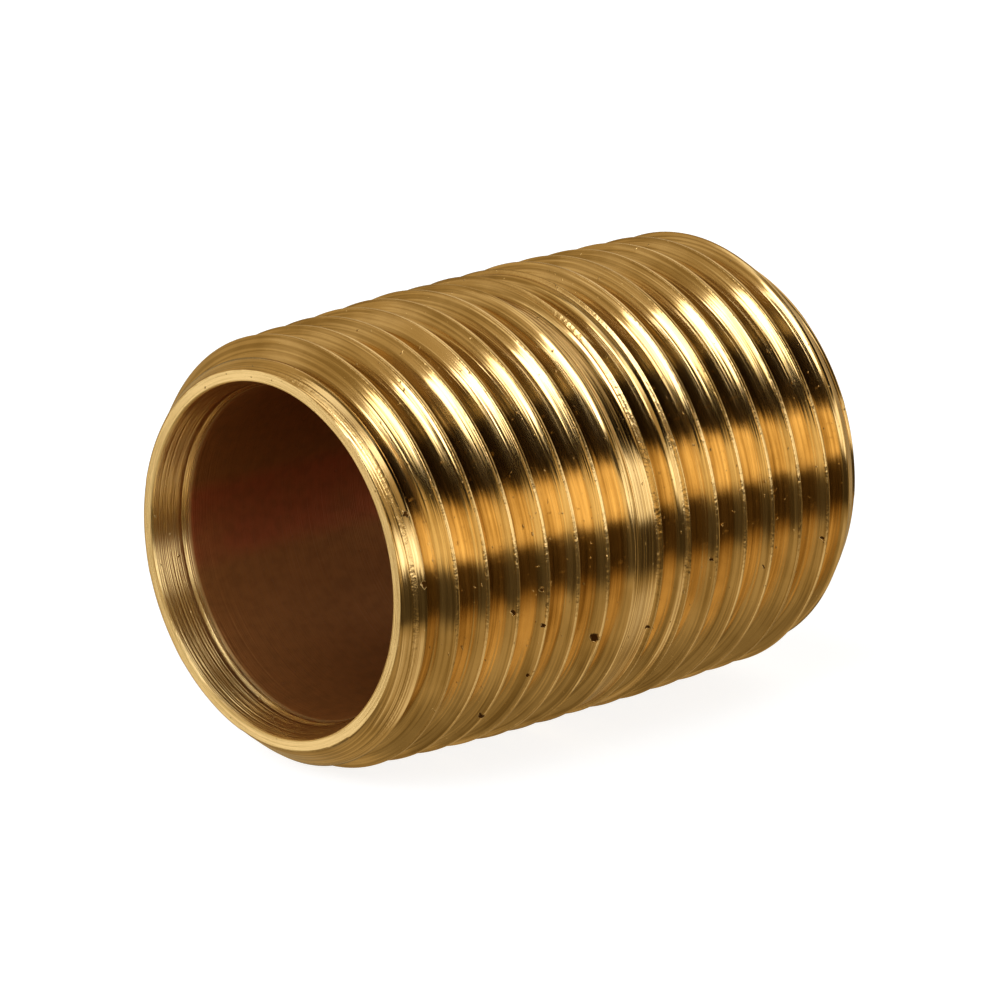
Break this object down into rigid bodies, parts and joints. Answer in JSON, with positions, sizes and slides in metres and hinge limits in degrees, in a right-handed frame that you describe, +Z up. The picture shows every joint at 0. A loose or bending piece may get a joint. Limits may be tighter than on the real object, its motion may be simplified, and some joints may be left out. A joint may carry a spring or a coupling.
{
  "type": "pipe close nipple",
  "caption": "Short brass pipe nipple with a plain through bore, threaded right-hand over its whole length from both ends to join two female pipe fittings.",
  "frame": {"origin": "on the axis of the bore, halfway between the two end faces", "axes": "+X along the bore axis from the left end to the right end, +Z up with the nipple lying on its side"},
  "size_m": [0.0286, 0.0213, 0.0213],
  "materials": {
    "brass": "turned and die-cut, left bright; the bore is dull brown"
  },
  "bodies": {
    "root": {"close_nipple": "brass"}
  },
  "joints": []
}
